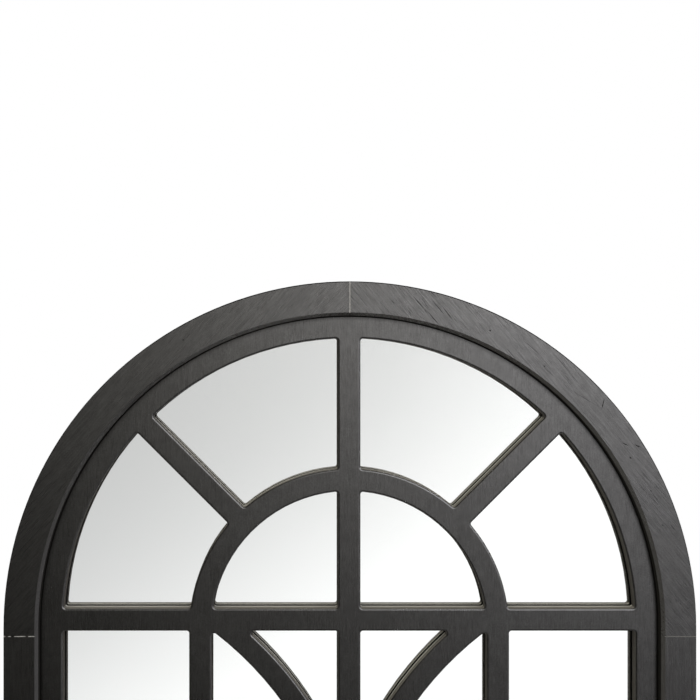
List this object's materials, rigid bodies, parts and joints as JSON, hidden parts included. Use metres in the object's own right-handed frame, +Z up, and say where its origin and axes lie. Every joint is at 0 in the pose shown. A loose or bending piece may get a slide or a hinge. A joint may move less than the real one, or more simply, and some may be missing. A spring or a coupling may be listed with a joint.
{
  "type": "arched window mirror",
  "caption": "Arched wall mirror with a painted wooden frame and a routed window lattice over the glass; hangs by two D-rings.",
  "frame": {"origin": "middle of the bottom edge of the frame's back face", "axes": "+X to the right seen from the front, +Y out of the back towards the wall, +Z up"},
  "size_m": [0.8128, 0.039, 1.1176],
  "materials": {
    "frame_wood": "satin black paint over planed softwood, pores and scratches showing",
    "lattice_board": "satin black paint on fibreboard, faint upright brush lines",
    "mirror_glass": "clear float glass silvered on its back",
    "backing_fibreboard": "brown fibreboard, plain",
    "dowel_wood": "bare beech",
    "plated_steel": "zinc plated",
    "foam_tape": "white closed-cell foam",
    "bumper_rubber": "matt black rubber"
  },
  "bodies": {
    "root": {"arch_left": "frame_wood", "arch_right": "frame_wood", "stile_left": "frame_wood", "stile_right": "frame_wood", "bottom_rail": "frame_wood", "dowels_crown": "dowel_wood", "dowels_spring_left": "dowel_wood", "dowels_spring_right": "dowel_wood", "dowels_corner_left": "dowel_wood", "dowels_corner_right": "dowel_wood", "plate_crown": "plated_steel", "plate_spring_left": "plated_steel", "plate_spring_right": "plated_steel", "corner_plate_left": "plated_steel", "corner_plate_right": "plated_steel", "plate_screws": "plated_steel", "lattice_panel": "lattice_board", "mirror_glass": "mirror_glass", "mounting_tape": "foam_tape", "backing_board": "backing_fibreboard", "backing_screws": "plated_steel", "hanger_strap_left": "plated_steel", "hanger_strap_right": "plated_steel", "hanger_screws": "plated_steel", "bumper_left": "bumper_rubber", "bumper_right": "bumper_rubber"},
    "ring_left": {"d_ring_left": "plated_steel"},
    "ring_right": {"d_ring_right": "plated_steel"}
  },
  "joints": [
    {"name": "ring_left_swing", "type": "hinge", "parent": "root", "child": "ring_left", "pos_m": [-0.3954, 0.00298, 0.6262], "axis": [1, 0, 0], "range_deg": [0, 180]},
    {"name": "ring_right_swing", "type": "hinge", "parent": "root", "child": "ring_right", "pos_m": [0.3954, 0.00298, 0.6262], "axis": [1, 0, 0], "range_deg": [0, 180]}
  ]
}
